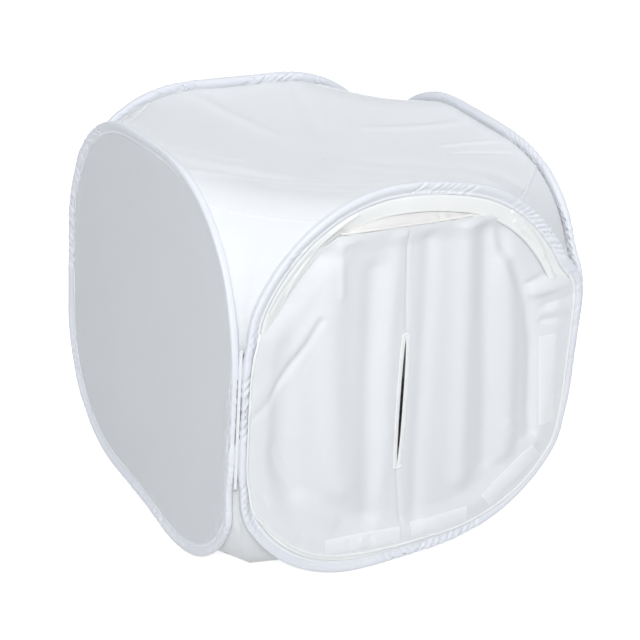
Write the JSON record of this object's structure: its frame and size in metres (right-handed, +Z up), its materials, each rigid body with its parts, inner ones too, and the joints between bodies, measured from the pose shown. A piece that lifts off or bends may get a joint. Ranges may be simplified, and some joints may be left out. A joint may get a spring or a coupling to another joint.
{
  "type": "light tent cube",
  "caption": "Pop-up light tent cube: sprung rounded-square hoops carry diffusing cloth panels, a dished roof, a cloth floor and a hook-and-loop front cover with a lens slit.",
  "frame": {"origin": "middle of the footprint, on the plane that the tent stands on", "axes": "+Z up, -Y out of the open front towards the camera, +X to the right seen from the front"},
  "size_m": [0.51, 0.51, 0.5166],
  "materials": {
    "sleeve_cloth": "woven nylon",
    "panel_cloth": "woven nylon",
    "roof_cloth": "woven nylon",
    "cover_cloth": "woven polyester",
    "loop_tape": "brushed loop pile",
    "hook_tape": "woven tape",
    "spring_steel": "bare",
    "crimp_steel": "plated",
    "thread": "matt"
  },
  "bodies": {
    "back_frame": {"back_spring_hoop": "spring_steel", "back_crimp": "crimp_steel", "back_sleeve": "sleeve_cloth", "back_panel": "panel_cloth", "back_left_corner_seam": "thread", "back_right_corner_seam": "thread", "back_roof": "roof_cloth", "back_floor": "roof_cloth", "back_right_roof_gusset": "roof_cloth", "back_right_floor_gusset": "roof_cloth", "floor_sheet": "roof_cloth"},
    "left_frame": {"left_spring_hoop": "spring_steel", "left_crimp": "crimp_steel", "left_sleeve": "sleeve_cloth", "left_panel": "panel_cloth", "front_left_corner_seam": "thread", "left_roof": "roof_cloth", "left_floor": "roof_cloth", "back_left_roof_gusset": "roof_cloth", "back_left_floor_gusset": "roof_cloth"},
    "right_frame": {"right_spring_hoop": "spring_steel", "right_crimp": "crimp_steel", "right_sleeve": "sleeve_cloth", "right_panel": "panel_cloth", "front_right_corner_seam": "thread", "right_roof": "roof_cloth", "right_floor": "roof_cloth", "front_right_roof_gusset": "roof_cloth", "front_right_floor_gusset": "roof_cloth"},
    "front_frame": {"front_spring_hoop": "spring_steel", "front_crimp": "crimp_steel", "front_sleeve": "sleeve_cloth", "front_rim": "sleeve_cloth", "loop_tape": "loop_tape", "cover_header": "cover_cloth", "front_roof": "roof_cloth", "front_floor": "roof_cloth", "front_left_roof_gusset": "roof_cloth", "front_left_floor_gusset": "roof_cloth"},
    "front_cover": {"cover_left": "cover_cloth", "cover_right": "cover_cloth", "slit_binding_left": "hook_tape", "slit_binding_right": "hook_tape", "slit_tack_top": "thread", "slit_tack_foot": "thread", "hook_strip_right": "hook_tape", "hook_strip_corner": "hook_tape", "hook_strip_foot_right": "hook_tape", "hook_strip_foot_left": "hook_tape"}
  },
  "joints": [
    {"name": "left_corner_fold", "type": "hinge", "parent": "back_frame", "child": "left_frame", "pos_m": [-0.2455, 0.2455, 0.25], "axis": [0, 0, 1], "range_deg": [0, 89], "stiffness_Nm_per_rad": 0.3, "deforming": ["back_roof", "back_floor", "left_roof", "left_floor", "right_roof", "right_floor", "front_roof", "front_floor", "back_left_roof_gusset", "back_left_floor_gusset", "back_right_roof_gusset", "back_right_floor_gusset", "front_left_roof_gusset", "front_left_floor_gusset", "front_right_roof_gusset", "front_right_floor_gusset", "floor_sheet"]},
    {"name": "right_corner_fold", "type": "hinge", "parent": "back_frame", "child": "right_frame", "pos_m": [0.2455, 0.2455, 0.25], "axis": [0, 0, 1], "range_deg": [0, 89]},
    {"name": "front_corner_fold", "type": "hinge", "parent": "right_frame", "child": "front_frame", "pos_m": [0.2455, -0.2455, 0.25], "axis": [0, 0, 1], "range_deg": [-89, 0]},
    {"name": "cover_flap", "type": "hinge", "parent": "front_frame", "child": "front_cover", "pos_m": [0, -0.25375, 0.4615], "axis": [1, 0, 0], "range_deg": [-120, 0]}
  ],
  "couplings": [
    {"joint": "right_corner_fold", "follows": "left_corner_fold", "ratio": 1},
    {"joint": "front_corner_fold", "follows": "left_corner_fold", "ratio": -1}
  ]
}
